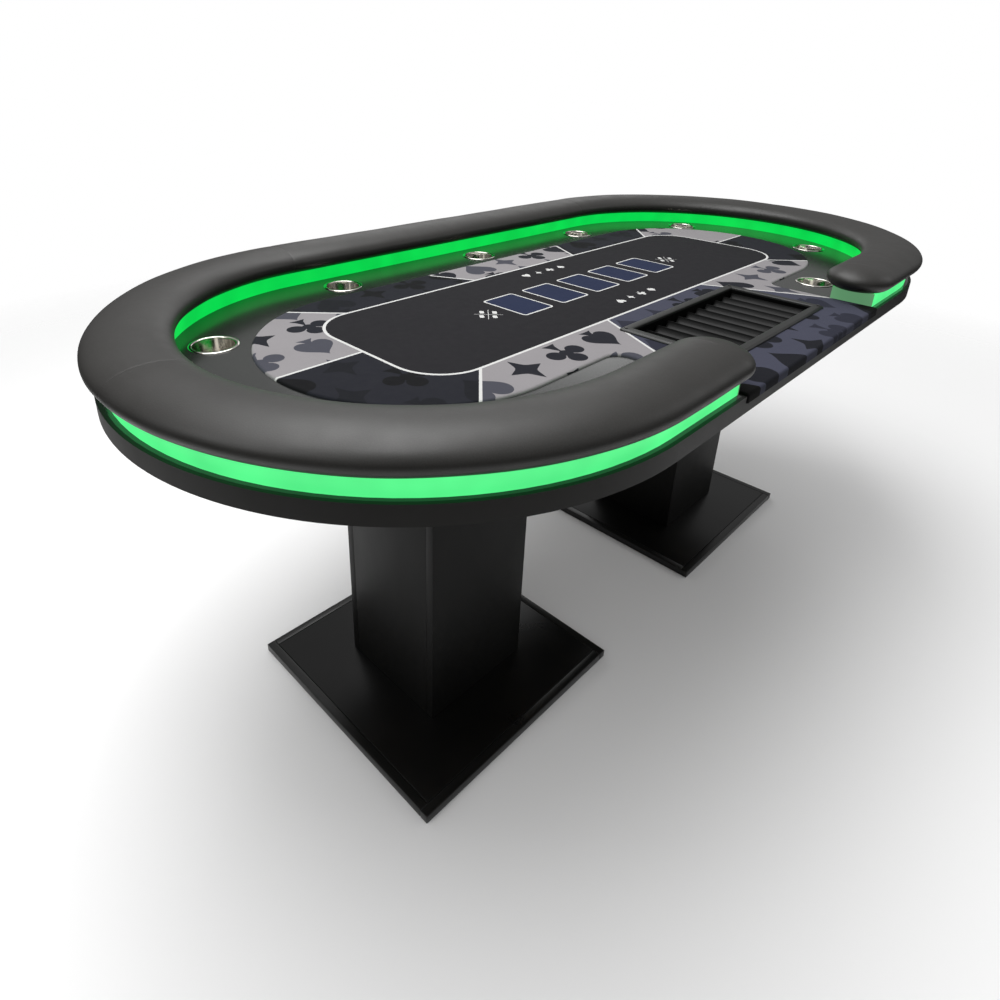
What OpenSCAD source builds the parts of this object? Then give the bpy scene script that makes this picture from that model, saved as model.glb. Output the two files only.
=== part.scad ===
// Oval poker table on two square pedestals, with a lit padded rail, drop-in cup
// holders and a ten-row chip tray at the dealer's place.
// Millimetres, +Z up, X along the table, the dealer sits at -Y. The origin is on the
// floor, midway between the pedestals.

/* [Table top] */
// Overall length of the top at its edge band
table_len = 2060; // [1800:20:2400]
// Overall width of the top at its edge band
table_w = 1030; // [960:10:1100]
// Height of the underside of the top above the floor
under_z = 762; // [700:2:900]
// Thickness of the lower board
base_t = 18; // [16:1:22]
// Thickness of the upper boards laid on the lower one
upper_t = 12; // [10:1:15]
// Thickness of the edge band
band_t = 6; // [3:1:8]
// Half angle of the edge bands that go round the two ends
band_deg = 42; // [30:1:60]

/* [Playing surface] */
// Distance from the centre line to the side of the playing surface
play_r = 285; // [260:1:290]
// Thickness of the foam under the cloth
foam_t = 6; // [3:0.5:8]
// Thickness of the cloth
cloth_t = 2; // [1:0.5:2]
// How far the dealer's cloth stands out past the edge band
front_over = 2; // [1:0.5:3]

/* [Padded rail] */
// Distance from the centre line to the middle of the rail
rail_r = 461; // [440:1:465]
// Half width of the padding
rail_a = 65; // [58:1:68]
// Half height of the padding
rail_b = 29.5; // [25:0.5:32]
// Height of the lit riser under the rail
riser_h = 28; // [20:1:32]
// Width of the riser, across both diffusers
riser_w = 83; // [76:1:86]
// Half width of the gap in the riser at the dealer's place
gap_half = 318; // [290:1:330]
// How far the padding reaches past the end of the riser
pad_over = 38; // [20:1:44]
// Thickness of the cover over the foam
cover_t = 1.5; // [1:0.5:2]
// Bolts that hold the rail down, on each long side
side_bolts = 3; // [2:1:3]

/* [Cup holders] */
// Distance from the centre line to the middle of the cup holders
cup_r = 348; // [335:1:352]
// Inner radius of a cup
cup_bore = 35.5; // [34:0.5:37]
// Radius of the flange
cup_flange = 42; // [39:0.5:44]
// Depth of a cup under the top
cup_deep = 60; // [45:1:70]
// Spacing of the cup holders along the sides
cup_pitch = 430; // [400:1:440]
// Angle of the end cup holders from the long axis
cup_deg = 35; // [25:1:40]

/* [Chip tray] */
// Rows in the tray
rows = 10; // [6:1:10]
// Distance between rows, for 39 mm chips
row_pitch = 40; // [40:0.1:42]
// Length of a row
row_len = 166; // [140:1:170]
// Distance from the centre line to the middle of the tray
tray_y = 334; // [328:1:340]
// Depth of the well under the cloth
well_deep = 28; // [26:1:32]

/* [Pedestals] */
// Distance between the two pedestals
ped_span = 932; // [800:2:1000]
// Width of a base plate
foot_w = 548; // [480:1:600]
// Thickness of a base plate
foot_t = 18; // [16:1:22]
// Width of a column
col_w = 265; // [220:1:280]
// Thickness of the column boards
col_t = 18; // [15:1:19]

/* [Hidden] */
$fn = 96;
e = 0.01;                                   // overshoot of a cut past a face

half_s = (table_len - table_w) / 2;         // half length of the straight sides
edge_r = table_w / 2;                       // radius of the ends at the edge band
board_r = edge_r - band_t;                  // radius of the boards inside the band
mid_z = under_z + base_t;                   // top of the lower board
top_z = mid_z + upper_t;                    // top of the track around the cloth
panel_t = 8;                                // board under the foam
cloth_z = mid_z + panel_t + foam_t + cloth_t;   // playing surface
front_y = edge_r + front_over;              // front of the dealer's cloth
cloth_gap = 0.5;                            // gap between the cloth and the track
apron_half = gap_half - 4;                  // half width of the dealer's cloth
apron_fillet = 30;                          // radius where it runs into the long side

rail_z = top_z + riser_h;                   // underside of the rail
pad_z = rail_z + 22;                        // widest level of the padding
rail_board_w = 78;
rail_board_t = 12;
diffuser_t = 3;
strip_t = 2;
strip_h = 10;
core_w = riser_w - 20;                      // solid middle of the riser
pad_end = gap_half - pad_over + rail_a;     // where the padding's round end starts
seam = 0.4;                                 // gap between neighbouring covers
seam_deg = 0.05;                            // the same gap, as an angle round the end

bolt_r = 4;
bolt_clear = 0.5;
cup_t = 0.8;
cup_hole = cup_bore + cup_t + 0.7;
flange_t = 1.4;

tray_w = rows * row_pitch;
well_w = tray_w + 5;
well_l = row_len + 8;
well_t = 1.5;
frame_lip = 19;                             // flange of the tray frame, past the well
frame_t = 5;

ped_x = ped_span / 2;
plate_w = 340;
plate_t = 18;
plate_bolt = 150;                           // reach of the plate's bolts from its middle
plate_bolt_r = 3;
col_z = under_z - plate_t;                  // top of a column
edging_w = 18;
groove = 0.8;                               // shadow line between base plate and edging
batten_w = 28;
batten_h = 40;
batten_y = 195;
batten_len = 1500;

// Places of the cup holders, clockwise from the table's near left.
CUPS = [[-half_s - cup_r * cos(cup_deg), -cup_r * sin(cup_deg)],
    [-half_s - cup_r * cos(cup_deg), cup_r * sin(cup_deg)],
    [-cup_pitch, cup_r], [0, cup_r], [cup_pitch, cup_r],
    [half_s + cup_r * cos(cup_deg), cup_r * sin(cup_deg)],
    [half_s + cup_r * cos(cup_deg), -cup_r * sin(cup_deg)],
    [cup_pitch, -cup_r]];

// Places of the rail bolts: along both sides and round both ends.
BOLTS = concat(
    [for (i = [0 : side_bolts - 1]) [-half_s + 40 + i * (2 * half_s - 80) / (side_bolts - 1), rail_r]],
    [for (x = [-1, 1], a = [-50, 0, 50]) [x * (half_s + rail_r * cos(a)), rail_r * sin(a)]],
    [for (x = [-1, 1]) [x * (half_s - 60), -rail_r]]);

// Slab of stadium outline: half straight length half_s, end radius r.
module stadium(r) {
    square([2 * half_s, 2 * r], center = true);
    for (x = [-half_s, half_s]) translate([x, 0]) circle(r);
}

// Ring between two stadium outlines.
module ring(r_out, r_in) {
    difference() {
        stadium(r_out);
        stadium(r_in);
    }
}

// Ring that stops short of the dealer's place, at x = half_gap on each side.
module open_ring(r_out, r_in, half_gap) {
    difference() {
        ring(r_out, r_in);
        translate([-half_gap, -r_out - 1]) square([2 * half_gap, r_out - 100]);
    }
}

// Part of the playing surface that runs out to the front edge at the dealer's place.
module dealer_apron(inset = 0) {
    side = apron_half - inset;
    fillet = apron_fillet + inset;
    translate([-side, -front_y + inset]) square([2 * side, front_y - play_r + apron_fillet]);
    for (m = [0, 1]) mirror([m, 0]) difference() {
        translate([side - 1, -play_r + inset - fillet]) square([fillet + 1, fillet + 1]);
        translate([side + fillet, -play_r + inset - fillet]) circle(fillet);
    }
}

module play_outline(inset = 0) {
    stadium(play_r - inset);
    dealer_apron(inset);
}

module tray_hole(grow = 0) {
    translate([0, -tray_y]) square([well_w + 2 * grow, well_l + 2 * grow], center = true);
}

module cup_holes(r) {
    for (c = CUPS) translate(c) circle(r);
}

module bolt_holes(r) {
    for (b = BOLTS) translate(b) circle(r);
}

module pedestal_holes(r) {
    for (x = [-ped_x, ped_x], dx = [-1, 1], dy = [-1, 1])
        translate([x + dx * plate_bolt, dy * plate_bolt]) circle(r);
}

module slab(z, t) {
    translate([0, 0, z]) linear_extrude(t) children();
}

module base_board() {
    color("#15130f") difference() {
        slab(under_z, base_t) difference() {
            stadium(board_r);
            cup_holes(cup_hole);
            bolt_holes(bolt_r + bolt_clear);
            tray_hole(2);
        }
        translate([0, 0, under_z - e]) linear_extrude(10) pedestal_holes(plate_bolt_r + 0.3);
    }
}

module track_board() {
    color("#1b1d1b") slab(mid_z, upper_t) difference() {
        stadium(board_r);
        play_outline(-cloth_gap);
        cup_holes(cup_hole);
        bolt_holes(bolt_r + bolt_clear);
    }
}

// Wedge that picks the band round one end: side is -1 for the left end, 1 for the right.
module end_wedge(side, half_a) {
    reach = 2 * edge_r;
    polygon([[side * half_s, 0], [side * (half_s + reach), -reach * tan(half_a)],
        [side * (half_s + reach), reach * tan(half_a)]]);
}

module edge_band(side) {
    color("#14120f") slab(under_z, base_t + upper_t) intersection() {
        ring(edge_r, board_r);
        end_wedge(side, band_deg);
    }
}

module edge_band_side(side) {
    color("#14120f") difference() {
        slab(under_z, base_t + upper_t) difference() {
            ring(edge_r, board_r);
            for (x = [-1, 1]) end_wedge(x, band_deg);
            translate([-table_len, side > 0 ? -table_w : 0]) square([2 * table_len, table_w]);
        }
        if (side < 0)
            translate([-apron_half - cloth_gap, -edge_r - 1, mid_z])
                cube([2 * (apron_half + cloth_gap), band_t + 2, upper_t + 1]);
    }
}

module playing_panel() {
    color("#6b5236") slab(mid_z, panel_t) difference() {
        play_outline(cloth_t);
        tray_hole(1);
    }
}

module playing_foam() {
    color("#3a3a3a") slab(mid_z + panel_t, foam_t) difference() {
        play_outline(cloth_t);
        tray_hole(1);
    }
}

// The cloth, folded down over the edges of the foam and the panel.
module playing_cloth() {
    color("#26272b") difference() {
        slab(mid_z, cloth_z - mid_z) play_outline();
        slab(mid_z - 1, cloth_z - cloth_t - mid_z + 1) play_outline(cloth_t);
        slab(mid_z, upper_t * 2) tray_hole(1);
    }
}

module riser_core() {
    color("#7b6547") slab(top_z, riser_h) difference() {
        open_ring(rail_r + core_w / 2, rail_r - core_w / 2, gap_half + 10);
        bolt_holes(bolt_r + bolt_clear);
    }
}

module led_strip(r_out) {
    color("#e8f4e8") slab(top_z + (riser_h - strip_h) / 2, strip_h)
        open_ring(r_out, r_out - strip_t, gap_half + 12);
}

module diffuser(r_out) {
    color("#35e06a") slab(top_z, riser_h) open_ring(r_out, r_out - diffuser_t, gap_half + diffuser_t);
}

module diffuser_ends() {
    color("#7fe79b") for (x = [-1, 1])
        translate([x * (gap_half + diffuser_t / 2), -rail_r, top_z + riser_h / 2])
            cube([diffuser_t, riser_w, riser_h], center = true);
}

module rail_board() {
    half = rail_board_w / 2;
    color("#7b6547") slab(rail_z, rail_board_t) difference() {
        union() {
            open_ring(rail_r + half, rail_r - half, pad_end);
            for (x = [-1, 1]) translate([x * pad_end, -rail_r]) circle(half);
        }
        bolt_holes(bolt_r + bolt_clear);
    }
}

// Section of the padding, x across the rail and y up from its widest level. It is
// an ellipse with a flat underside; cut sets it in by the thickness of the cover.
module pad_section(cut = 0) {
    flat_y = rail_z - pad_z + cut;
    t0 = asin(flat_y / (rail_b - cut));
    polygon([for (i = [0 : 22]) let (t = t0 + i * (180 - 2 * t0) / 22)
        [(rail_a - cut) * cos(t), (rail_b - cut) * sin(t)]]);
}

// Section of the cover: a skin over the foam, folded in up to the rail's board.
module cover_section() {
    half = rail_board_w / 2 + 0.2;
    difference() {
        pad_section();
        pad_section(cover_t);
        translate([-half, rail_z - pad_z - 1]) square([2 * half, cover_t + 2]);
    }
}

module foam_section() {
    half = rail_board_w / 2 + 0.2;
    difference() {
        pad_section(cover_t + 0.02);
        translate([-half, rail_z - pad_z - 1]) square([2 * half, rail_board_t + 1.1]);
    }
}

// Straight run of a section from x0 to x1, on the side given by -1 or 1.
module pad_run(x0, x1, side) {
    translate([x0, side * rail_r, pad_z]) rotate([90, 0, 90]) linear_extrude(x1 - x0) children();
}

// Quarter turn of a section about the end at x, from angle a0.
module pad_turn(x, a0, a1) {
    translate([x, 0, pad_z]) rotate([0, 0, a0]) rotate_extrude(angle = a1 - a0)
        translate([rail_r, 0]) children();
}

// Round end of the padding at the dealer's place.
module pad_cap(side) {
    translate([side * pad_end, -rail_r, pad_z]) rotate([0, 0, side * 90])
        rotate_extrude(angle = 180) intersection() {
            children();
            translate([0, -60]) square([rail_a + 20, 120]);
        }
}

module rail_cover_near_left() {
    color("#1d1e1d") {
        pad_run(-half_s, -pad_end, -1) cover_section();
        pad_turn(-half_s, 180, 270) cover_section();
        pad_cap(-1) cover_section();
    }
}

module rail_cover_near_right() {
    mirror([1, 0, 0]) rail_cover_near_left();
}

module rail_cover_left() {
    color("#1d1e1d") pad_turn(-half_s, 90, 180 - seam_deg) cover_section();
}

module rail_cover_right() {
    mirror([1, 0, 0]) rail_cover_left();
}

module rail_cover_far() {
    color("#1d1e1d") pad_run(-half_s + seam, half_s - seam, 1) cover_section();
}

module rail_foam() {
    color("#c9b98a") {
        for (m = [0, 1]) mirror([m, 0, 0]) {
            pad_run(-half_s, -pad_end, -1) foam_section();
            pad_turn(-half_s, 90, 180) foam_section();
            pad_turn(-half_s, 180, 270) foam_section();
            pad_cap(-1) foam_section();
        }
        pad_run(-half_s, half_s, 1) foam_section();
    }
}

module rail_bolts() {
    color("silver") for (b = BOLTS) translate([b[0], b[1], 0]) {
        translate([0, 0, under_z - 5.5]) cylinder(r = 7.5, h = 5.5, $fn = 6);
        translate([0, 0, under_z - e]) cylinder(r = bolt_r, h = rail_z + rail_board_t - 2 - under_z);
    }
}

module cup_holder(i) {
    color("silver") translate([CUPS[i - 1][0], CUPS[i - 1][1], 0]) difference() {
        union() {
            translate([0, 0, top_z]) cylinder(r = cup_flange, h = flange_t);
            translate([0, 0, top_z - cup_deep]) cylinder(r = cup_bore + cup_t, h = cup_deep + flange_t);
        }
        translate([0, 0, top_z - cup_deep + cup_t]) cylinder(r = cup_bore, h = cup_deep + 5);
    }
}

module tray_frame() {
    color("#2a2c2a") translate([0, -tray_y, cloth_z]) difference() {
        hull() {
            linear_extrude(frame_t - 3) square([well_w + 2 * frame_lip, well_l + 2 * frame_lip], center = true);
            linear_extrude(frame_t) square([well_w + 2 * frame_lip - 8, well_l + 2 * frame_lip - 8], center = true);
        }
        translate([0, 0, -1]) linear_extrude(frame_t + 2) square([well_w, well_l], center = true);
        for (x = [-1, 1], y = [-1, 1])
            translate([x * (well_w + frame_lip) / 2, y * (well_l + frame_lip) / 2, -1])
                cylinder(r = 2.2, h = frame_t + 2);
    }
}

module tray_well() {
    color("#191a19") translate([0, -tray_y, cloth_z - well_deep]) difference() {
        linear_extrude(well_deep) square([well_w, well_l], center = true);
        translate([0, 0, well_t])
            linear_extrude(well_deep) square([well_w - 2 * well_t, well_l - 2 * well_t], center = true);
    }
}

// Ten troughs side by side; the chips stand on edge in them, in rows along Y.
module tray_insert() {
    base = 3;
    deep = 16;                              // depth of a trough under the ridge tips
    chip_r = 19.8;
    color("#2b2d2c") translate([0, -tray_y, cloth_z - well_deep + well_t + 0.05]) difference() {
        translate([-tray_w / 2 - 0.6, -row_len / 2, 0]) cube([tray_w + 1.2, row_len, base + deep]);
        for (i = [0 : rows - 1])
            translate([(i - (rows - 1) / 2) * row_pitch, -row_len / 2 - 1, base + chip_r])
                rotate([-90, 0, 0]) cylinder(r = chip_r, h = row_len + 2);
    }
}

module tray_screws() {
    color("#111111") for (x = [-1, 1], y = [-1, 1])
        translate([x * (well_w + frame_lip) / 2, -tray_y + y * (well_l + frame_lip) / 2, cloth_z]) {
            cylinder(r = 2, h = frame_t);
            translate([0, 0, frame_t]) cylinder(r = 3.5, h = 1.2);
        }
}

// side is -1 for the left pedestal and 1 for the right; inner faces look to the middle.
module top_plate(side) {
    color("#17160f") difference() {
        translate([side * ped_x - plate_w / 2, -plate_w / 2, col_z]) cube([plate_w, plate_w, plate_t]);
        slab(col_z - 1, plate_t + 2) pedestal_holes(plate_bolt_r + 0.3);
    }
}

// Board of the column that faces -Y or +Y, given by dir.
module column_face(side, dir) {
    color("#17170f") translate([side * ped_x - col_w / 2, dir > 0 ? col_w / 2 - col_t : -col_w / 2, foot_t])
        cube([col_w, col_t, col_z - foot_t]);
}

// Board of the column that faces along X, given by dir.
module column_side(side, dir) {
    color("#17170f") translate([side * ped_x + (dir > 0 ? col_w / 2 - col_t : -col_w / 2),
        -col_w / 2 + col_t, foot_t]) cube([col_t, col_w - 2 * col_t, col_z - foot_t]);
}

module cleats(side) {
    post = 30;
    in = col_w / 2 - col_t - post;
    color("#7b6547") for (x = [-1, 1], y = [-1, 1])
        translate([side * ped_x + (x > 0 ? in : -in - post), y > 0 ? in : -in - post, foot_t])
            cube([post, post, col_z - foot_t]);
}

module base_plate(side) {
    w = foot_w - 2 * edging_w - 2 * groove;
    color("#14140f") translate([side * ped_x - w / 2, -w / 2, 0]) cube([w, w, foot_t]);
}

// Four strips butted round the base plate.
module base_edging(side) {
    w = foot_w / 2;
    strip = foot_w - edging_w;
    color("#14140f") for (a = [0 : 90 : 270]) translate([side * ped_x, 0, 0]) rotate([0, 0, a])
        translate([-w, -w, 0]) cube([strip - 0.2, edging_w, foot_t]);
}

module pedestal_bolts() {
    color("silver") for (x = [-ped_x, ped_x], dx = [-1, 1], dy = [-1, 1])
        translate([x + dx * plate_bolt, dy * plate_bolt, 0]) {
            translate([0, 0, col_z - 5]) cylinder(r = 6.5, h = 5, $fn = 6);
            translate([0, 0, col_z - e]) cylinder(r = plate_bolt_r, h = plate_t + 8);
        }
}

module long_battens() {
    color("#7b6547") for (y = [-batten_y - batten_w, batten_y])
        translate([-batten_len / 2, y, under_z - batten_h]) cube([batten_len, batten_w, batten_h]);
}

module cross_battens() {
    reach = batten_y - 0.2;
    color("#7b6547") for (x = [-batten_len / 2 + 30, 0, batten_len / 2 - 30])
        translate([x - batten_w / 2, -reach, under_z - batten_h]) cube([batten_w, 2 * reach, batten_h]);
}

driver = [180, 62, 34];
driver_at = [60, 70, under_z - driver[2]];
controller = [86, 36, 18];
controller_at = [330, -470, under_z - controller[2]];
button_r = 5;
button_travel = 1.5;

module led_driver() {
    color("#d8d8d4") difference() {
        translate(driver_at) cube(driver);
        translate(driver_at + [driver[0] - 12, 17, 7]) cube([20, 28, 20]);
    }
}

module mains_inlet() {
    color("#1a1a1a") translate(driver_at + [driver[0] - 12, 17, 7]) difference() {
        translate([0.1, 0.1, 0.1]) cube([14, 27.8, 19.8]);
        translate([4, 3, 3]) cube([20, 22, 14]);
    }
    color("silver") translate(driver_at + [driver[0] - 12, 31, 17])
        for (p = [[-6, -2.5], [6, -2.5], [0, 3]])
            translate([4 - e, p[0], p[1]]) rotate([0, 90, 0]) cylinder(r = 1.5, h = 8);
}

module led_controller() {
    color("#20221f") difference() {
        translate(controller_at) cube(controller);
        translate(controller_at + [16, -1, controller[2] / 2])
            rotate([-90, 0, 0]) cylinder(r = button_r + 0.3, h = 9);
    }
}

module power_button() {
    color("#5a5d5a") translate(controller_at + [16, -2.5, controller[2] / 2])
        rotate([-90, 0, 0]) cylinder(r = button_r, h = 2.5 + 8 - button_travel - 0.5);
}

// Surface trunking for the low-voltage leads, from the driver to the riser's end.
module cable_trunking() {
    duct = [16, 10];
    run_x = 256;
    color("#dadad6") {
        translate([driver_at[0] + 80, driver_at[1] - 62, under_z - duct[1]])
            cube([duct[0], 61.8, duct[1]]);
        translate([driver_at[0] + 80 + duct[0] + 0.1, driver_at[1] - 62, under_z - duct[1]])
            cube([run_x - driver_at[0] - 80 - duct[0], duct[0], duct[1]]);
    }
}

base_board();
track_board();
edge_band_side(-1);  // edge_band_near
edge_band_side(1);  // edge_band_far
edge_band(-1);  // edge_band_left
edge_band(1);  // edge_band_right
playing_panel();
playing_foam();
playing_cloth();
riser_core();
led_strip(rail_r - core_w / 2);  // led_strip_inner
led_strip(rail_r + core_w / 2 + strip_t);  // led_strip_outer
diffuser(rail_r - riser_w / 2 + diffuser_t);  // diffuser_inner
diffuser(rail_r + riser_w / 2);  // diffuser_outer
diffuser_ends();
rail_board();
rail_foam();
rail_cover_near_left();
rail_cover_left();
rail_cover_far();
rail_cover_right();
rail_cover_near_right();
rail_bolts();
cup_holder(1);  // cup_holder_1
cup_holder(2);  // cup_holder_2
cup_holder(3);  // cup_holder_3
cup_holder(4);  // cup_holder_4
cup_holder(5);  // cup_holder_5
cup_holder(6);  // cup_holder_6
cup_holder(7);  // cup_holder_7
cup_holder(8);  // cup_holder_8
tray_frame();
tray_well();
tray_insert();
tray_screws();
top_plate(-1);  // left_top_plate
column_face(-1, -1);  // left_column_near
column_face(-1, 1);  // left_column_far
column_side(-1, -1);  // left_column_outer
column_side(-1, 1);  // left_column_inner
cleats(-1);  // left_cleats
base_plate(-1);  // left_base_plate
base_edging(-1);  // left_base_edging
top_plate(1);  // right_top_plate
column_face(1, -1);  // right_column_near
column_face(1, 1);  // right_column_far
column_side(1, 1);  // right_column_outer
column_side(1, -1);  // right_column_inner
cleats(1);  // right_cleats
base_plate(1);  // right_base_plate
base_edging(1);  // right_base_edging
pedestal_bolts();
long_battens();
cross_battens();
led_driver();
mains_inlet();
led_controller();
power_button();
cable_trunking();
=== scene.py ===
"""The looks of the oval poker table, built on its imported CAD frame."""

import math

import bmesh
import bpy
import numpy as np
from mathutils import Matrix, Vector, geometry


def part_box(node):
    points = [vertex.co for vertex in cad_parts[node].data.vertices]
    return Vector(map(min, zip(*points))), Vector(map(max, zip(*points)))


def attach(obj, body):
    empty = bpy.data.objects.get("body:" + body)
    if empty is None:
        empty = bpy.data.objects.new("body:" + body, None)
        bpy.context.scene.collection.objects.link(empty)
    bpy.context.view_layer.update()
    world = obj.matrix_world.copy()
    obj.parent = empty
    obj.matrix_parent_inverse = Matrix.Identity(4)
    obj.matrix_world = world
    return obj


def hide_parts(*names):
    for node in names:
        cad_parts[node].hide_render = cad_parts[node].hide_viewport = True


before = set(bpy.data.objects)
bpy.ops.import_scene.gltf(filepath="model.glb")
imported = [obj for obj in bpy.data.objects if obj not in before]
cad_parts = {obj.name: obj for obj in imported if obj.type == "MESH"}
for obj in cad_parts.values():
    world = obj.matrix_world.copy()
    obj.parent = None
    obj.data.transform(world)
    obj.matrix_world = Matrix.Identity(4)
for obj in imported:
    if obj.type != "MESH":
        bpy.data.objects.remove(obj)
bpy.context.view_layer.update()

# Sizes of the CAD in millimetres: everything below works in them and ends in metres.
HALF_S = 515.0  # half of the straight sides
PLAY_R = 285.0  # side of the playing surface, from the centre line
APRON_HALF, APRON_FILLET = 314.0, 30.0  # dealer's cloth
FRONT_Y = 517.0
BOARD_Z, TRACK_Z, CLOTH_Z = 780.0, 792.0, 796.0
RAIL_R = 461.0  # middle of the rail, from the centre line
RAIL_A, RAIL_B = 65.0, 29.5  # half width and half height of the padding
RAIL_Z, PAD_Z = 820.0, 842.0  # underside of the padding and its widest level
PAD_END = 345.0  # where the padding's round end starts
TRAY_Y = -334.0
WELL_W, WELL_L = 405.0, 174.0
TRAY_LIP = 19.0
CUP_R, CUP_WALL, CUP_DEEP = 35.5, 0.8, 60.0


# ---------------------------------------------------------------- shader helpers


class Nodes:
    """A material and short ways to add and join its nodes."""

    def __init__(self, name):
        self.mat = bpy.data.materials.new(name)
        self.mat.use_nodes = True
        self.tree = self.mat.node_tree
        self.bsdf = self.tree.nodes["Principled BSDF"]
        coord = self.tree.nodes.new("ShaderNodeTexCoord")
        self.place = coord.outputs["Object"]

    def add(self, kind, **sockets):
        node = self.tree.nodes.new(kind)
        for key, value in sockets.items():
            self.put(node.inputs[key.replace("_", " ")], value)
        return node

    def put(self, socket, value):
        if isinstance(value, bpy.types.NodeSocket):
            self.tree.links.new(value, socket)
        else:
            socket.default_value = value

    def set(self, **sockets):
        for key, value in sockets.items():
            self.put(self.bsdf.inputs[key.replace("_", " ")], value)
        return self

    def noise(self, scale, detail=3.0, rough=0.55, place=None):
        node = self.add("ShaderNodeTexNoise", Scale=scale, Detail=detail, Roughness=rough)
        self.put(node.inputs["Vector"], place or self.place)
        return node.outputs["Fac"]

    def stretch(self, scale, rotate=(0, 0, 0)):
        node = self.add("ShaderNodeMapping", Vector=self.place)
        node.inputs["Scale"].default_value = scale
        node.inputs["Rotation"].default_value = rotate
        return node.outputs["Vector"]

    def ramp(self, fac, low, high, a=0.0, b=1.0):
        """fac from low to high, mapped to values a to b."""
        node = self.tree.nodes.new("ShaderNodeMapRange")
        self.put(node.inputs["Value"], fac)
        for key, v in (("From Min", low), ("From Max", high), ("To Min", a), ("To Max", b)):
            node.inputs[key].default_value = v
        return node.outputs["Result"]

    def mix(self, fac, a, b):
        node = self.tree.nodes.new("ShaderNodeMix")
        node.data_type = "RGBA"
        self.put(node.inputs[0], fac)
        self.put(node.inputs[6], a)
        self.put(node.inputs[7], b)
        return node.outputs[2]

    def math(self, op, a, b=0.0):
        node = self.tree.nodes.new("ShaderNodeMath")
        node.operation = op
        self.put(node.inputs[0], a)
        self.put(node.inputs[1], b)
        return node.outputs[0]

    def bump(self, height, strength, distance, normal=None):
        node = self.add("ShaderNodeBump", Strength=strength, Distance=distance, Height=height)
        if normal:
            self.put(node.inputs["Normal"], normal)
        return node.outputs["Normal"]


def rgb(r, g, b):
    return (r, g, b, 1.0)


def scaled(colour, k):
    return (colour[0] * k, colour[1] * k, colour[2] * k, 1.0)


# ---------------------------------------------------------------- materials


def leatherette():
    n = Nodes("rail_leatherette")
    cells = n.add("ShaderNodeTexVoronoi", Vector=n.place, Scale=620.0)
    cells.feature = "SMOOTH_F1"
    fine = n.noise(1500.0, 2.0)
    broad = n.noise(7.0, 3.0)
    grain = n.math("ADD", cells.outputs["Distance"], n.math("MULTIPLY", fine, 0.35))
    base = n.mix(n.ramp(broad, 0.3, 0.7), rgb(0.0075, 0.0070, 0.0060), rgb(0.0110, 0.0103, 0.0088))
    n.set(Base_Color=n.mix(n.ramp(cells.outputs["Distance"], 0.1, 0.7), base, rgb(0.016, 0.015, 0.0135)))
    n.set(Roughness=n.ramp(n.noise(23.0, 4.0), 0.25, 0.75, 0.40, 0.50))
    n.set(Normal=n.bump(grain, 0.22, 0.00035), Specular_IOR_Level=0.42)
    return n.mat


def cloth_print(name, colour):
    """Printed speed cloth: a fine twill under a flat dye."""
    n = Nodes(name)
    threads = []
    for turn in (0.7, -0.87):
        along = n.stretch((1, 1, 1), (0, 0, turn))
        thread = n.add("ShaderNodeTexWave", Vector=along, Scale=260.0, Distortion=1.2, Detail=1.0)
        threads.append(thread.outputs["Fac"])
    weave = n.math("MULTIPLY", *threads)
    broad = n.noise(11.0, 4.0)
    tint = n.mix(n.ramp(broad, 0.25, 0.75), scaled(colour, 0.9), scaled(colour, 1.1))
    n.set(Base_Color=n.mix(n.ramp(weave, 0.0, 0.9), scaled(colour, 0.82), tint))
    n.set(Roughness=n.ramp(n.noise(60.0), 0.2, 0.8, 0.78, 0.9), Specular_IOR_Level=0.06)
    n.set(Sheen_Weight=0.015, Sheen_Roughness=0.5, Normal=n.bump(weave, 0.25, 0.0002))
    return n.mat


def laminate(name, colour, rough, coat=0.0, grain=0.0, gloss=0.5):
    """Faced board: nearly even, with faint handling marks and orange peel."""
    n = Nodes(name)
    smear = n.noise(5.0, 5.0, 0.6, n.stretch((1.0, 1.0, 0.35)))
    peel = n.noise(420.0, 2.0)
    n.set(Base_Color=n.mix(n.ramp(smear, 0.3, 0.7), scaled(colour, 0.85), scaled(colour, 1.2)))
    n.set(Roughness=n.ramp(smear, 0.25, 0.75, rough * 0.85, rough * 1.15))
    n.set(Coat_Weight=coat, Coat_Roughness=0.12, Specular_IOR_Level=gloss)
    height = peel
    if grain:
        fibre = n.noise(60.0, 4.0, 0.6, n.stretch((1.0, 1.0, 0.04)))
        height = n.math("ADD", peel, n.math("MULTIPLY", fibre, grain))
    n.set(Normal=n.bump(height, 0.06, 0.0003))
    return n.mat


def raw_board():
    n = Nodes("plywood")
    fibre = n.noise(14.0, 6.0, 0.6, n.stretch((1.0, 9.0, 9.0)))
    n.set(Base_Color=n.mix(n.ramp(fibre, 0.3, 0.7), rgb(0.30, 0.19, 0.10), rgb(0.48, 0.34, 0.19)))
    n.set(Roughness=0.75, Normal=n.bump(fibre, 0.3, 0.0004))
    return n.mat


def lit_acrylic(name, colour, strength):
    """Opal strip lit from behind: a soft row of brighter spots over an even glow."""
    n = Nodes(name)
    spots = n.noise(16.0, 1.0)
    n.set(Base_Color=scaled(colour, 0.12), Roughness=0.4, Specular_IOR_Level=0.3)
    n.set(Emission_Color=colour, Emission_Strength=n.ramp(spots, 0.3, 0.7, strength * 0.92, strength * 1.08))
    return n.mat


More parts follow.
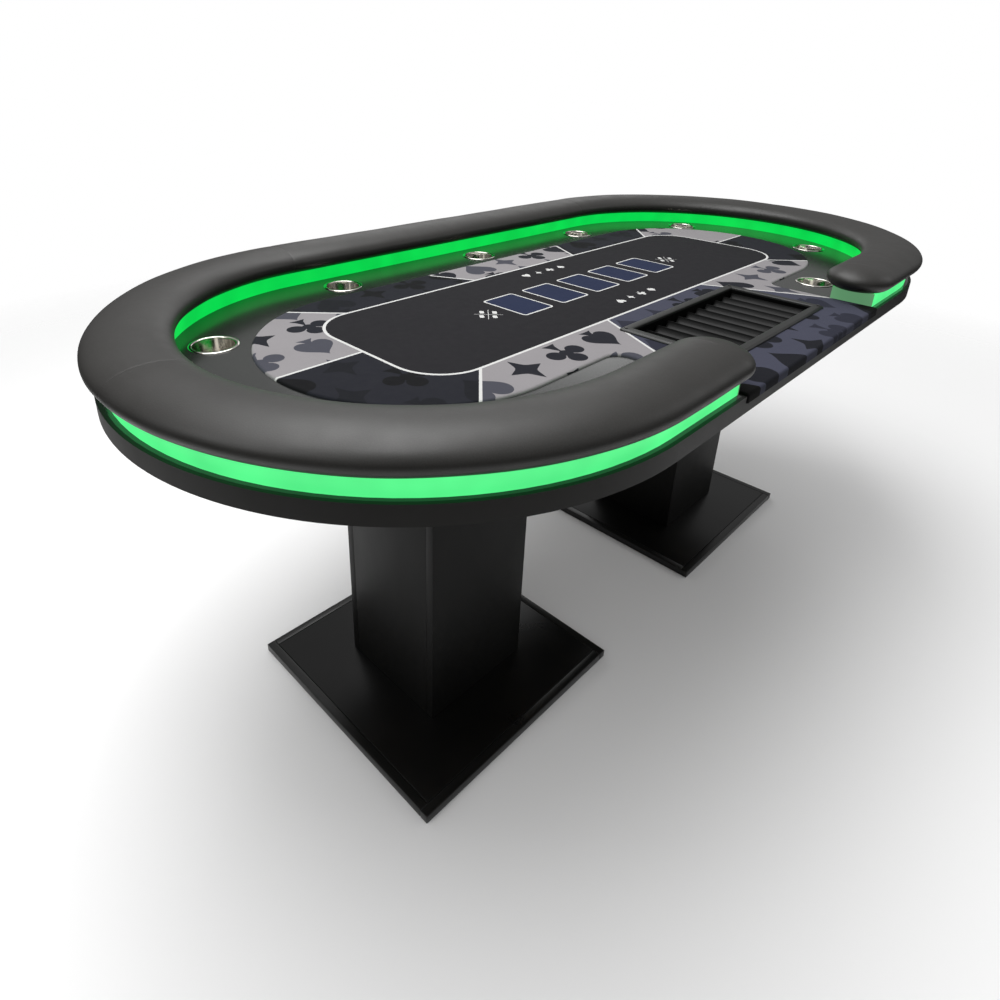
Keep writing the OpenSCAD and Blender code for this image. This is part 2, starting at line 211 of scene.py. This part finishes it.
def steel(name, rough, brushed):
    n = Nodes(name)
    lines = n.noise(300.0, 3.0, 0.6, n.stretch((0.2, 0.2, 14.0) if brushed else (1, 1, 1)))
    n.set(Base_Color=n.mix(lines, rgb(0.50, 0.48, 0.44), rgb(0.68, 0.66, 0.61)), Metallic=1.0)
    n.set(Roughness=n.ramp(lines, 0.2, 0.8, rough * 0.7, rough * 1.3))
    n.set(Normal=n.bump(lines, 0.12 if brushed else 0.03, 0.0002))
    return n.mat


def moulded(name, colour, rough, gloss=0.5):
    n = Nodes(name)
    pits = n.noise(900.0, 2.0)
    broad = n.noise(13.0, 3.0)
    n.set(Base_Color=n.mix(broad, scaled(colour, 0.85), scaled(colour, 1.15)))
    n.set(Roughness=n.ramp(broad, 0.3, 0.7, rough * 0.85, rough * 1.15), Specular_IOR_Level=gloss)
    n.set(Normal=n.bump(pits, 0.1, 0.0002))
    return n.mat


LEATHER = leatherette()
TRACK = laminate("racetrack_gloss", rgb(0.013, 0.014, 0.013), 0.2, coat=0.15)
BAND = laminate("edge_band_laminate", rgb(0.0040, 0.0036, 0.0028), 0.48, gloss=0.22)
COLUMN = laminate("pedestal_laminate", rgb(0.0036, 0.0036, 0.0033), 0.5, grain=0.6, gloss=0.2)
BASE = laminate("base_laminate", rgb(0.0022, 0.0022, 0.0021), 0.30, gloss=0.28)
EDGE = laminate("base_edging", rgb(0.005, 0.005, 0.0047), 0.30, gloss=0.35)
RAW = raw_board()
STEEL = steel("cup_steel_brushed", 0.28, True)
RIM = steel("cup_steel_rim", 0.12, False)
ZINC = steel("zinc_fastener", 0.35, False)
TRAY = moulded("tray_satin", rgb(0.012, 0.0125, 0.012), 0.40, 0.3)
FLUTE = moulded("tray_insert_satin", rgb(0.0025, 0.0026, 0.0026), 0.34, 0.12)
# Near-black well: black plastic darkened far below the frame as painted shade, standing for the shadow
# inside the tray's well.
WELL_PAINTED_SHADE = moulded("tray_well_painted_shade", rgb(0.001, 0.001, 0.001), 0.6, 0.05)
BLACK = moulded("black_plastic", rgb(0.015, 0.015, 0.015), 0.4)
PALE = moulded("pale_case", rgb(0.55, 0.55, 0.53), 0.45)
BUTTON = moulded("button_grey", rgb(0.10, 0.10, 0.10), 0.35)
LIT_IN = lit_acrylic("diffuser_inner_green", rgb(0.0, 0.78, 0.085), 0.85)
LIT_OUT = lit_acrylic("diffuser_outer_green", rgb(0.09, 0.88, 0.25), 1.0)
LIT_END = lit_acrylic("diffuser_end_pale", rgb(0.10, 0.26, 0.125), 1.0)
LIT_STRIP = lit_acrylic("light_strip", rgb(0.3, 1.0, 0.5), 2.0)

INK = {
    "field": rgb(0.0125, 0.0120, 0.0140),
    "line": rgb(0.50, 0.50, 0.49),
    "light": rgb(0.215, 0.205, 0.212),
    "light_suit": rgb(0.012, 0.0125, 0.017),
    "light_suit_mid": rgb(0.050, 0.051, 0.064),
    "dark": rgb(0.012, 0.0125, 0.017),
    "dark_suit": rgb(0.0045, 0.0045, 0.0055),
    "dark_suit_mid": rgb(0.0075, 0.008, 0.0105),
    "dealer": rgb(0.043, 0.045, 0.066),
    "dealer_suit": rgb(0.008, 0.0085, 0.012),
    "dealer_suit_mid": rgb(0.019, 0.020, 0.031),
    "card": rgb(0.014, 0.0195, 0.046),
    "end": rgb(0.003, 0.003, 0.003),
}
INK_MAT = {key: cloth_print("cloth_" + key, colour) for key, colour in INK.items()}


# ---------------------------------------------------------------- mesh helpers


def mesh_object(name, verts, faces, mats, index=None, smooth=True):
    """A mesh from millimetre vertices."""
    me = bpy.data.meshes.new(name)
    me.from_pydata([(x * 0.001, y * 0.001, z * 0.001) for x, y, z in verts], [], faces)
    for m in mats:
        me.materials.append(m)
    if index is not None:
        me.polygons.foreach_set("material_index", index)
    me.polygons.foreach_set("use_smooth", [smooth] * len(me.polygons))
    me.update()
    ob = bpy.data.objects.new(name, me)
    bpy.context.scene.collection.objects.link(ob)
    return ob


def merge(ob, dist=1e-6):
    bm = bmesh.new()
    bm.from_mesh(ob.data)
    bmesh.ops.remove_doubles(bm, verts=bm.verts, dist=dist)
    bmesh.ops.recalc_face_normals(bm, faces=bm.faces)
    bm.to_mesh(ob.data)
    bm.free()


def bevelled(name, node, mat, width, segments):
    """The CAD node's own shape with softened edges, in its place."""
    ob = bpy.data.objects.new(name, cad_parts[node].data.copy())
    bpy.context.scene.collection.objects.link(ob)
    ob.data.materials.clear()
    ob.data.materials.append(mat)
    bm = bmesh.new()
    bm.from_mesh(ob.data)
    bmesh.ops.remove_doubles(bm, verts=bm.verts, dist=1e-6)
    bmesh.ops.dissolve_limit(bm, angle_limit=0.01, verts=bm.verts, edges=bm.edges)
    sharp = [e for e in bm.edges if len(e.link_faces) == 2 and e.calc_face_angle(0) > 0.6]
    bmesh.ops.bevel(bm, geom=sharp, offset=width * 0.001, segments=segments, profile=0.5, affect="EDGES")
    for f in bm.faces:
        f.material_index = 0
        f.smooth = True
    bm.to_mesh(ob.data)
    bm.free()
    ob.data.set_sharp_from_angle(angle=0.7)
    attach(ob, "table")
    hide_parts(node)


def dress(mat, *nodes):
    for node in nodes:
        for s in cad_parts[node].material_slots:
            s.material = mat


# ---------------------------------------------------------------- padded rail


def pad_ring(n=72):
    """The rail's section as (across, up, distance round it), a closed ring with a flat foot."""
    foot = RAIL_Z - PAD_Z - 0.1
    t0 = math.asin(foot / RAIL_B)
    pts = []
    arc = [t0 + (math.pi - 2 * t0) * i / (n - 1) for i in range(n)]
    for t in arc:
        pts.append((RAIL_A * math.cos(t), RAIL_B * math.sin(t)))
    edge = pts[0][0]
    for i in range(1, 12):
        pts.append((-edge + 2 * edge * i / 12, foot))
    # A small radius where the cover turns under.
    out, run = [], 0.0
    for i, (a, b) in enumerate(pts):
        pa, pb = pts[i - 1]
        run += math.hypot(a - pa, b - pb)
        lift = max(0.0, 1.0 - abs(abs(a) - edge) / 5.0) * max(0.0, 1.0 - (b - foot) / 6.0)
        out.append((a - math.copysign(1.6 * lift, a), b + 0.8 * lift, run))
    return out


RING = pad_ring()

# Distances along the rail: where the near side starts and ends, and once round.
STRAIGHT, ARC = 2 * HALF_S, math.pi * RAIL_R
SIDE_NEAR_R = STRAIGHT + ARC
SIDE_NEAR_L = SIDE_NEAR_R + STRAIGHT
LAP = SIDE_NEAR_L + ARC


def path_point(s):
    """Place and outward direction on the rail's centre line, s mm on from the left end of the
    far side, clockwise seen from above: far side, right end, near side, left end."""
    s = s % LAP
    if s <= STRAIGHT:
        return -HALF_S + s, RAIL_R, 0.0, 1.0
    if s <= SIDE_NEAR_R:
        a = math.pi / 2 - (s - STRAIGHT) / RAIL_R
        return HALF_S + RAIL_R * math.cos(a), RAIL_R * math.sin(a), math.cos(a), math.sin(a)
    if s <= SIDE_NEAR_L:
        return HALF_S - (s - SIDE_NEAR_R), -RAIL_R, 0.0, -1.0
    a = -math.pi / 2 - (s - SIDE_NEAR_L) / RAIL_R
    return -HALF_S + RAIL_R * math.cos(a), RAIL_R * math.sin(a), math.cos(a), math.sin(a)


def pad_offset(s, run, up, seams):
    """How far the cover stands off its section: soft waves, and puckers beside each seam."""
    wave = 0.30 * math.sin(s / 61.0 + 0.9 * math.sin(run / 33.0))
    wave += 0.22 * math.sin(s / 27.0 + run / 19.0 + 1.3) * math.sin(s / 143.0)
    out = wave
    for seam in seams:
        d = abs(s - seam)
        out -= 0.30 * math.exp(-((d / 1.6) ** 2)) + 0.45 * math.exp(-d / 18.0)
        out += 0.14 * math.exp(-d / 26.0) * math.sin(run / 2.9 + 0.7 * math.sin(run / 7.0))
    return out if up > RAIL_Z - PAD_Z + 2 else 0.0


def stations(a, b, seams, step=9.0):
    """Distances along a run, close together beside its seams."""
    out, s = [a], a
    while s < b - 0.01:
        near = min([abs(s - x) for x in seams] + [abs(s + 3 - x) for x in seams] + [99.0])
        s += 0.8 if near < 6 else (2.0 if near < 24 else (4.0 if near < 50 else step))
        out.append(min(s, b))
    return out


def rail_cover(name, node, a, b, seams, nose=0):
    """One length of padding from a to b along the rail; nose is 1 for a round end at b and -1
    for one at a."""
    verts, faces, rings = [], [], []
    for s in stations(a, b, seams):
        x, y, ox, oy = path_point(s)
        ring = []
        for across, up, run in RING:
            d = pad_offset(s, run, up, seams)
            size = math.hypot(across / RAIL_A ** 2, up / RAIL_B ** 2) or 1.0
            na, nu = across / RAIL_A ** 2 / size, up / RAIL_B ** 2 / size
            across, up = across + d * na, up + d * nu
            ring.append((x + ox * across, y + oy * across, PAD_Z + up))
        rings.append(ring)
    if nose:
        s = b if nose > 0 else a
        x, y, ox, oy = path_point(s)
        side = -1.0 if x < 0 else 1.0
        extra = []
        steps = 26
        for k in range(1, steps + 1):
            phi = math.pi / 2 * k / steps
            ring = []
            for across, up, run in RING:
                d = pad_offset(s, run, up, seams) * math.cos(phi)
                across = across * (1 + d / RAIL_A)
                r = abs(across)
                v = across * math.cos(phi)
                ring.append((x - side * r * math.sin(phi), y + oy * v, PAD_Z + up))
            extra.append(ring)
        rings = rings + extra if nose > 0 else extra[::-1] + rings
    n = len(RING)
    for ring in rings:
        verts.extend(ring)
    for j in range(len(rings) - 1):
        for i in range(n):
            k = (i + 1) % n
            faces.append((j * n + i, j * n + k, (j + 1) * n + k, (j + 1) * n + i))
    ob = mesh_object(name, verts, faces, [LEATHER])
    merge(ob, 2e-5)
    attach(ob, "table")
    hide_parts(node)


def build_rail():
    half_arc = ARC / 2
    rail_cover("rail_far", "rail_cover_far", 0, STRAIGHT, [0, STRAIGHT])
    right = STRAIGHT + half_arc
    rail_cover("rail_right_end", "rail_cover_right", STRAIGHT, right, [STRAIGHT, right])
    nose_r = SIDE_NEAR_R + HALF_S - PAD_END
    rail_cover("rail_near_right", "rail_cover_near_right", right, nose_r, [right], 1)
    nose_l = SIDE_NEAR_R + HALF_S + PAD_END
    left = SIDE_NEAR_L + half_arc
    rail_cover("rail_near_left", "rail_cover_near_left", nose_l, left, [left], -1)
    rail_cover("rail_left_end", "rail_cover_left", left, LAP, [left, LAP])


# ---------------------------------------------------------------- printed cloth


def arc_pts(cx, cy, r, a0, a1, n):
    return [(cx + r * math.cos(a), cy + r * math.sin(a)) for a in np.linspace(a0, a1, n)]


def outline(inset=0.0):
    """Edge of the playing surface, anticlockwise, set in by inset."""
    r = PLAY_R - inset
    side = APRON_HALF - inset
    fillet = APRON_FILLET + inset
    front = -FRONT_Y + inset
    corner = 5.0 - min(inset, 4.5)
    bend = -r - fillet
    pts = [(-side, y) for y in np.linspace(bend - 12, front + corner + 4, 14)]
    pts += arc_pts(-side + corner, front + corner, corner, math.pi, 1.5 * math.pi, 5)
    pts += [(x, front) for x in np.linspace(-side + corner + 8, side - corner - 8, 24)]
    pts += arc_pts(side - corner, front + corner, corner, 1.5 * math.pi, 2 * math.pi, 5)
    pts += [(side, y) for y in np.linspace(front + corner + 4, bend - 12, 14)]
    pts += arc_pts(side + fillet, bend, fillet, math.pi, math.pi / 2, 9)
    pts += [(x, -r) for x in np.linspace(side + fillet + 10, HALF_S - 8, 12)]
    pts += arc_pts(HALF_S, 0, r, -math.pi / 2, math.pi / 2, 72)
    pts += [(x, r) for x in np.linspace(HALF_S - 12, -HALF_S + 12, 50)]
    pts += arc_pts(-HALF_S, 0, r, math.pi / 2, 1.5 * math.pi, 72)
    pts += [(x, -r) for x in np.linspace(-HALF_S + 8, -side - fillet - 10, 12)]
    pts += arc_pts(-side - fillet, bend, fillet, math.pi / 2, 0.0, 9)
    return pts


def round_rect(cx, cy, w, h, r, n=7, turn=0.0):
    pts = []
    for sx, sy, a in ((1, 1, 0), (-1, 1, 1), (-1, -1, 2), (1, -1, 3)):
        pts += arc_pts(sx * (w / 2 - r), sy * (h / 2 - r), r, a * math.pi / 2, (a + 1) * math.pi / 2, n)
    c, s = math.cos(turn), math.sin(turn)
    return [(cx + x * c - y * s, cy + x * s + y * c) for x, y in pts]


def line_quad(p, q, w):
    d = Vector((q[0] - p[0], q[1] - p[1])).normalized()
    nx, ny = -d.y * w / 2, d.x * w / 2
    return [(p[0] + nx, p[1] + ny), (p[0] - nx, p[1] - ny), (q[0] - nx, q[1] - ny), (q[0] + nx, q[1] + ny)]


def stem(cx, cy, h):
    """Waisted foot of a spade or club, at its +Y end."""
    return [(cx, cy + 0.10 * h), (cx + 0.05 * h, cy + 0.24 * h), (cx + 0.10 * h, cy + 0.38 * h),
            (cx + 0.19 * h, cy + 0.50 * h), (cx, cy + 0.485 * h), (cx - 0.19 * h, cy + 0.50 * h),
            (cx - 0.10 * h, cy + 0.38 * h), (cx - 0.05 * h, cy + 0.24 * h)]


def heart_shape(cx, cy, w, h, up):
    """Heart outline; its tip points to +Y where up is 1."""
    pts = []
    for i in range(44):
        t = 2 * math.pi * i / 44
        x = 16 * math.sin(t) ** 3 / 32.0
        y = (13 * math.cos(t) - 5 * math.cos(2 * t) - 2 * math.cos(3 * t) - math.cos(4 * t)) / 29.0
        pts.append((cx + x * w, cy - up * (y + 0.09) * h))
    return pts


def suit_faces(kind, cx, cy):
    """Outlines that make up one suit, about 84 mm high, foot to +Y."""
    h = 84.0
    if kind == "heart":
        return [heart_shape(cx, cy, 82, h, 1)]
    if kind == "spade":
        return [heart_shape(cx, cy - 7, 70, 0.84 * h, -1), stem(cx, cy - 2, h)]
    if kind == "club":
        r = 0.205 * h
        lobes = [(cx - 25, cy + 2), (cx + 25, cy + 2), (cx, cy - 24)]
        return [arc_pts(x, y, r, 0, 2 * math.pi * 23 / 24, 24) for x, y in lobes] + [
            [(cx - 14, cy + 6), (cx - 6, cy - 22), (cx + 6, cy - 22), (cx + 14, cy + 6), (cx, cy + 14)],
            stem(cx, cy, h)]
    pts = []
    corners = [(0, 42), (36, 0), (0, -42), (-36, 0)]
    for i in range(4):
        (ax, ay), (bx, by) = corners[i], corners[(i + 1) % 4]
        for t in np.linspace(0, 1, 7)[:-1]:
            sag = 1 - 0.36 * math.sin(math.pi * t)
            pts.append((cx + (ax + (bx - ax) * t) * sag, cy + (ay + (by - ay) * t) * sag))
    return [pts]


SUITS = ("heart", "diamond", "club", "spade")
# Rows of the repeating print: y, and the x of one club in the row.
PRINT_ROWS = ((-505, -330), (-418, -278), (-325, -436), (-232, -385), (-128, -648), (-30, -597),
              (70, -785), (163, -636), (248, -320), (330, -372))
PITCH = 104.0


def cloth_regions():
    """Everything printed on the cloth, as (outline, kind) pairs; later ones lie on top."""
    shapes = [(outline(i), "edge") for i in (0.0, 0.5, 1.2, 2.2, 3.5, 5.0, 7.0)]
    mirror = lambda pts: [(-x, y) for x, y in pts]
    end = [(-540, 0), (-900, 0), (-900, 330), (-695, 330), (-540, 180)]
    near = [(-540, -180), (-695, -330), (-695, -540), (-330, -470), (-305, -423), (-258, -316), (-188, -180)]
    far = [(-185, 180), (-250, 303), (250, 303), (185, 180)]
    shapes += [(end, "panel_light"), (mirror(end), "panel_light"), (far, "panel_light")]
    shapes += [(near, "panel_light"), (mirror(near), "panel_light")]
    dealer = [(-188, -180), (-258, -316), (-305, -423), (-330, -470), (-330, -540)]
    shapes += [(dealer + mirror(dealer)[::-1], "panel_dealer")]
    for row, (y, club_x) in enumerate(PRINT_ROWS):
        for k in range(-12, 13):
            x = club_x + k * PITCH
            if abs(x) < 860 and not (abs(x) < HALF_S and abs(y) < 120):
                tone = "suit_mid" if (3 * k + 2 * row) % 5 in (0, 2) else "suit"
                for pts in suit_faces(SUITS[(2 + k) % 4], x, y):
                    shapes.append((pts, tone))
    for m in (1, -1):
        seps = [((-182, 176), (-236, 276)), ((-538, 178), (-640, 277)), ((-538, -178), (-640, -277)),
                ((-634, 0), (-812, 0)), ((-187, -180), (-258, -316)), ((-258, -316), (-311, -423))]
        for p, q in seps:
            shapes.append((line_quad((m * p[0], p[1]), (m * q[0], q[1]), 5.0), "line"))
    shapes += [(round_rect(0, 0, 1277, 365, 96, 16), "line"), (round_rect(0, 0, 1266, 354, 91, 16), "field")]
    for i in range(5):
        x = (i - 2) * 121.5
        shapes += [(round_rect(x, 0, 91, 119, 9), "line"), (round_rect(x, 0, 83, 111, 6), "card")]
    for x in (-338, 338):
        for dx, dy in ((0, 18), (18, 0), (0, -18), (-18, 0)):
            shapes.append((round_rect(x + dx, -6 + dy, 15, 9, 2.0, 3, math.radians(50)), "line"))
        for d in (-1, 1):
            shapes.append((line_quad((x - 20, -6 - 20 * d), (x + 20, -6 + 20 * d), 1.2), "line"))
    for y, up in ((128, 1), (-128, -1)):
        for i, kind in enumerate(SUITS):
            for pts in suit_faces(kind, 0, 0):
                shapes.append(([((i - 1.5) * 42 + px * 0.27, y - up * py * 0.27) for px, py in pts], "line"))
    block = [(322, -524), (322, -492), (300, -480), (280, -494), (268, -524)]
    shapes += [([(m * x, y) for x, y in block], "end") for m in (-1, 1)]
    hole = [(x, TRAY_Y + y) for x, y in ((-204, -88.5), (204, -88.5), (204, 88.5), (-204, 88.5))]
    shapes.append((hole, "hole"))
    return shapes


def edge_distance(points, loop):
    """Distance from each point to a closed outline."""
    p = np.array(points)[:, None, :]
    a = np.array(loop)
    d = np.roll(a, -1, 0) - a
    length = np.maximum((d ** 2).sum(1), 1e-9)
    t = np.clip(((p - a) * d).sum(2) / length, 0, 1)
    return np.sqrt(((p - a - t[..., None] * d) ** 2).sum(2)).min(1)


def ink_of(kinds):
    """The ink where these printed shapes lie over each other."""
    panel = "dealer" if "panel_dealer" in kinds else "light" if "panel_light" in kinds else "dark"
    last = [k for k in kinds if k in ("line", "field", "card", "end")]
    if last:
        return last[-1]
    if "suit" in kinds:
        return panel + "_suit"
    if "suit_mid" in kinds:
        return panel + "_suit_mid"
    return panel


def build_cloth():
    shapes = cloth_regions()
    coords, polys = [], []
    for pts, _ in shapes:
        base = len(coords)
        turn = sum(p[0] * q[1] - q[0] * p[1] for p, q in zip(pts, pts[1:] + pts[:1]))
        coords += [Vector(p) for p in (pts if turn > 0 else pts[::-1])]
        polys.append(list(range(base, base + len(pts))))
    verts, _, tris, _, _, origin = geometry.delaunay_2d_cdt(coords, [], polys, 1, 1e-3)
    flat = [(v.x, v.y) for v in verts]
    loop = outline()
    depth = edge_distance(flat, loop)
    radius = 5.0
    z = []
    for d in depth:
        k = min(d, radius)
        z.append(CLOTH_Z - (radius - math.sqrt(max(radius ** 2 - (radius - k) ** 2, 0.0))))
    inks = list(INK)
    faces, index = [], []
    for tri, ids in zip(tris, origin):
        kinds = [shapes[i][1] for i in sorted(ids)]
        if "hole" in kinds or "edge" not in kinds:
            continue
        faces.append(tuple(tri))
        index.append(inks.index(ink_of(kinds)))
    pts = [(x, y, h) for (x, y), h in zip(flat, z)]
    ob = mesh_object("printed_cloth", pts, faces, [INK_MAT[k] for k in inks], index)
    bm = bmesh.new()
    bm.from_mesh(ob.data)
    loose = [v for v in bm.verts if not v.link_faces]
    bmesh.ops.delete(bm, geom=loose, context="VERTS")
    rim = [e for e in bm.edges if e.is_boundary]
    made = bmesh.ops.extrude_edge_only(bm, edges=rim)["geom"]
    for v in (g for g in made if isinstance(g, bmesh.types.BMVert)):
        inside = abs(v.co.x) < 0.2045 and abs(v.co.y - TRAY_Y * 0.001) < 0.0889
        v.co.z = (788.2 if inside else BOARD_Z + 0.3) * 0.001
    bmesh.ops.recalc_face_normals(bm, faces=bm.faces)
    bm.to_mesh(ob.data)
    bm.free()
    ob.data.polygons.foreach_set("use_smooth", [True] * len(ob.data.polygons))
    ob.data.set_sharp_from_angle(angle=0.9)
    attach(ob, "table")
    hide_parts("playing_cloth", "playing_foam")


# ---------------------------------------------------------------- cup holders


def lathe(name, profile, mats, spans, at, segments=72):
    """Turned piece: profile of (radius, z) and for each stretch of it a material index."""
    verts, faces, index = [], [], []
    for i in range(segments):
        a = 2 * math.pi * i / segments
        for r, z in profile:
            verts.append((at[0] + r * math.cos(a), at[1] + r * math.sin(a), z))
    n = len(profile)
    for i in range(segments):
        j = (i + 1) % segments
        for k in range(n - 1):
            faces.append((i * n + k, j * n + k, j * n + k + 1, i * n + k + 1))
            index.append(spans[k])
    ob = mesh_object(name, verts, faces, mats, index)
    merge(ob)
    ob.data.set_sharp_from_angle(angle=0.8)
    return ob


def build_cups():
    top, r, t = TRACK_Z, CUP_R, CUP_WALL
    deep = top - CUP_DEEP
    outer = [(0.0, deep), (r + t - 3, deep), (r + t - 0.9, deep + 0.9), (r + t, deep + 3),
             (r + t, top - 0.05)]
    lip = [(40.6, top - 0.02), (41.7, top + 0.2), (42.0, top + 0.75), (41.5, top + 1.35), (40.2, top + 1.75),
           (38.4, top + 1.85), (36.9, top + 1.55), (35.9, top + 0.9), (r, top - 0.4)]
    inner = [(r, deep + 4), (r - 1.0, deep + 1.8), (r - 3.2, deep + t), (24, deep + t),
             (23.2, deep + t + 0.5), (22.2, deep + t + 0.5), (21.4, deep + t), (0.0, deep + t)]
    profile = outer + lip + inner
    spans = [0] * (len(outer) - 1) + [1] * (len(lip) + 1) + [0] * (len(inner) - 1)
    for i in range(1, 9):
        node = "cup_holder_%d" % i
        low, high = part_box(node)
        at = ((low.x + high.x) * 500, (low.y + high.y) * 500)
        ob = lathe("steel_cup_%d" % i, profile, [STEEL, RIM], spans, at)
        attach(ob, "cup_%d" % i)
        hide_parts(node)


# ---------------------------------------------------------------- chip tray


def loft(name, loops, mat):
    """Quads between loops that all have as many points, the last joined to the first."""
    n, m = len(loops[0]), len(loops)
    verts = [p for loop in loops for p in loop]
    faces = []
    for j in range(m):
        for i in range(n):
            k, jj = (i + 1) % n, (j + 1) % m
            faces.append((j * n + i, j * n + k, jj * n + k, jj * n + i))
    ob = mesh_object(name, verts, faces, [mat])
    merge(ob)
    return ob


def build_tray():
    z0 = CLOTH_Z
    w, l = WELL_W + 2 * TRAY_LIP, WELL_L + 2 * TRAY_LIP

    def ring(inset, z, r):
        return [(x, y, z) for x, y in round_rect(0, TRAY_Y, w - 2 * inset, l - 2 * inset, r, 6)]

    # Section of the rim from its outer foot over the top to its inner foot: inset, height, corner.
    section = ((0, 0.02, 6), (0, 1.6, 6), (0.5, 2.6, 5.6), (3.4, 4.5, 4.5), (4.4, 4.9, 4.2), (5.4, 5.0, 4),
               (16.2, 5.0, 3.4), (17.6, 4.7, 3.2), (18.6, 3.8, 3), (19.0, 2.6, 3), (19.0, 0.02, 3))
    ob = loft("tray_rim", [ring(inset, z0 + up, r) for inset, up, r in section], TRAY)
    ob.data.set_sharp_from_angle(angle=0.9)
    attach(ob, "chip_tray")
    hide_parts("tray_frame")
    # The well gets the near-black painted shade in place of its shadow.
    dress(WELL_PAINTED_SHADE, "tray_well")
    dress(FLUTE, "tray_insert")
    dress(BLACK, "tray_screws")


# ---------------------------------------------------------------- the rest


def build_boards():
    for side in ("left", "right"):
        for part in ("column_near", "column_far", "column_outer", "column_inner", "top_plate"):
            name = side + "_" + part.replace("column", "board")
            bevelled(name, side + "_" + part, COLUMN, 0.6, 2)
        bevelled(side + "_plate_panel", side + "_base_plate", BASE, 0.5, 2)
        bevelled(side + "_plate_lipping", side + "_base_edging", EDGE, 1.1, 3)
    dress(BAND, "edge_band_near", "edge_band_far", "edge_band_left", "edge_band_right", "base_board")
    dress(TRACK, "track_board")
    dress(RAW, "playing_panel", "riser_core", "rail_board", "left_cleats", "right_cleats")
    dress(RAW, "long_battens", "cross_battens")
    dress(LIT_IN, "diffuser_inner")
    dress(LIT_OUT, "diffuser_outer")
    dress(LIT_END, "diffuser_ends")
    dress(LIT_STRIP, "led_strip_inner", "led_strip_outer")
    dress(ZINC, "rail_bolts", "pedestal_bolts")
    dress(PALE, "led_driver", "cable_trunking")
    dress(BLACK, "mains_inlet", "led_controller")
    dress(BUTTON, "power_button")


def build_world():
    """Plain white behind the object, lit as by a room that is bright above and dark below."""
    world = bpy.data.worlds.new("studio")
    bpy.context.scene.world = world
    world.use_nodes = True
    tree = world.node_tree
    room = tree.nodes["Background"]
    coord = tree.nodes.new("ShaderNodeTexCoord")
    split = tree.nodes.new("ShaderNodeSeparateXYZ")
    height = tree.nodes.new("ShaderNodeMapRange")
    for key, v in (("From Min", -0.1), ("From Max", 0.9), ("To Min", 0.05), ("To Max", 0.75)):
        height.inputs[key].default_value = v
    tree.links.new(coord.outputs["Generated"], split.inputs[0])
    tree.links.new(split.outputs["Z"], height.inputs["Value"])
    tree.links.new(height.outputs["Result"], room.inputs["Strength"])
    room.inputs["Color"].default_value = (1, 1, 1, 1)
    white = tree.nodes.new("ShaderNodeBackground")
    white.inputs["Strength"].default_value = 1.25
    path = tree.nodes.new("ShaderNodeLightPath")
    pick = tree.nodes.new("ShaderNodeMixShader")
    tree.links.new(path.outputs["Is Camera Ray"], pick.inputs[0])
    tree.links.new(room.outputs[0], pick.inputs[1])
    tree.links.new(white.outputs[0], pick.inputs[2])
    tree.links.new(pick.outputs[0], tree.nodes["World Output"].inputs["Surface"])


def build_stage():
    reach, drop = 14000, -0.3
    corners = [(x * reach, y * reach, drop) for x, y in ((-1, -1), (1, -1), (1, 1), (-1, 1))]
    floor = mesh_object("studio_floor", corners, [(0, 1, 2, 3)], [], smooth=False)
    n = Nodes("studio_floor_white")
    away = n.add("ShaderNodeVectorMath", Vector=n.place)
    away.operation = "LENGTH"
    n.set(Base_Color=rgb(0.84, 0.84, 0.84), Roughness=0.9, Specular_IOR_Level=0.1)
    n.set(Alpha=n.ramp(away.outputs["Value"], 1.7, 3.6, 1.0, 0.0))
    floor.data.materials.append(n.mat)
    build_world()
    bpy.context.scene.view_settings.view_transform = "Standard"
    for name, at, aim, size, power in (
        ("softbox_top", (-0.4, 0.6, 3.3), (0, 0, 0.8), (3.2, 2.0), 110),
        ("softbox_left", (-3.0, 0.4, 2.8), (-0.4, 0, 0.7), (1.6, 1.6), 24),
        ("softbox_right", (2.6, -2.2, 2.6), (0.3, 0, 0.6), (1.4, 1.4), 8),
        ("softbox_back", (2.6, 2.9, 2.2), (0, 0, 0.8), (3.0, 1.0), 13)):
        data = bpy.data.lights.new(name, "AREA")
        data.shape = "RECTANGLE"
        data.size, data.size_y = size
        data.energy = power
        ob = bpy.data.objects.new(name, data)
        bpy.context.scene.collection.objects.link(ob)
        ob.location = at
        ob.visible_camera = False
        ob.rotation_euler = (Vector(at) - Vector(aim)).to_track_quat("Z", "Y").to_euler()


def build_camera():
    az, el, roll = math.radians(45.503), math.radians(23.569), math.radians(1.402)
    fwd = Vector((math.cos(el) * math.sin(az), math.cos(el) * math.cos(az), -math.sin(el)))
    right = fwd.cross(Vector((0, 0, 1))).normalized()
    up = right.cross(fwd)
    right2 = right * math.cos(roll) + up * math.sin(roll)
    up2 = up * math.cos(roll) - right * math.sin(roll)
    cam = bpy.data.cameras.new("main")
    cam.lens = 24.07
    cam.sensor_width = 36.0
    cam.sensor_fit = "HORIZONTAL"
    cam.shift_x = 0.0328
    cam.shift_y = -0.129
    cam.clip_end = 100.0
    ob = bpy.data.objects.new("main_camera", cam)
    bpy.context.scene.collection.objects.link(ob)
    rot = Matrix((right2, up2, -fwd)).transposed()
    ob.matrix_world = Matrix.Translation((-1.2508, -0.8489, 1.2161)) @ rot.to_4x4()
    bpy.context.scene.camera = ob


build_camera()
build_stage()
build_rail()
build_cloth()
build_cups()
build_tray()
build_boards()
